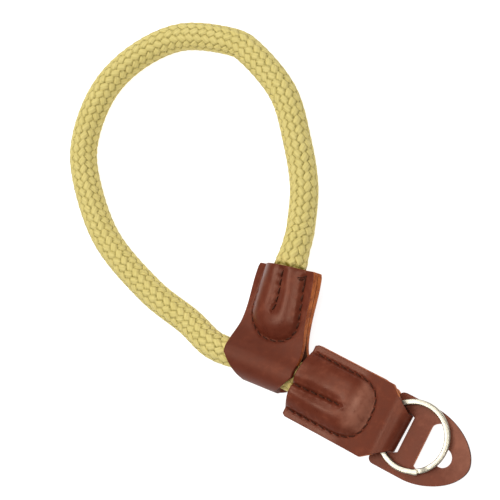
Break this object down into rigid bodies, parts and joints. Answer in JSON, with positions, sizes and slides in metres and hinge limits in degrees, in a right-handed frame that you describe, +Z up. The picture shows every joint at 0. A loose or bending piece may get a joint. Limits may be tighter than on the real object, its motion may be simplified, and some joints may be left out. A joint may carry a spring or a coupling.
{
  "type": "camera wrist strap",
  "caption": "Camera wrist strap: a braided rope loop with a folded leather slider, a stitched leather end that holds a split ring, and a leather pad under the ring.",
  "frame": {"origin": "on the ground, under the middle of the strap's box as it lies", "axes": "+Z up, +Y from the ring end towards the rope loop, +X across, towards the side that the slider's rope mouth opens to"},
  "size_m": [0.1122, 0.1902, 0.0154],
  "materials": {
    "rope": "khaki yellow braided cord, matte",
    "leather": "reddish brown smooth leather, satin, tan cut edges",
    "pad_leather": "brown smooth leather, satin",
    "ring_metal": "polished nickel"
  },
  "bodies": {
    "root": {"rope": "rope", "slider_leather": "leather", "camera_end_leather": "leather", "split_ring": "ring_metal", "ring_pad": "pad_leather"}
  },
  "joints": []
}
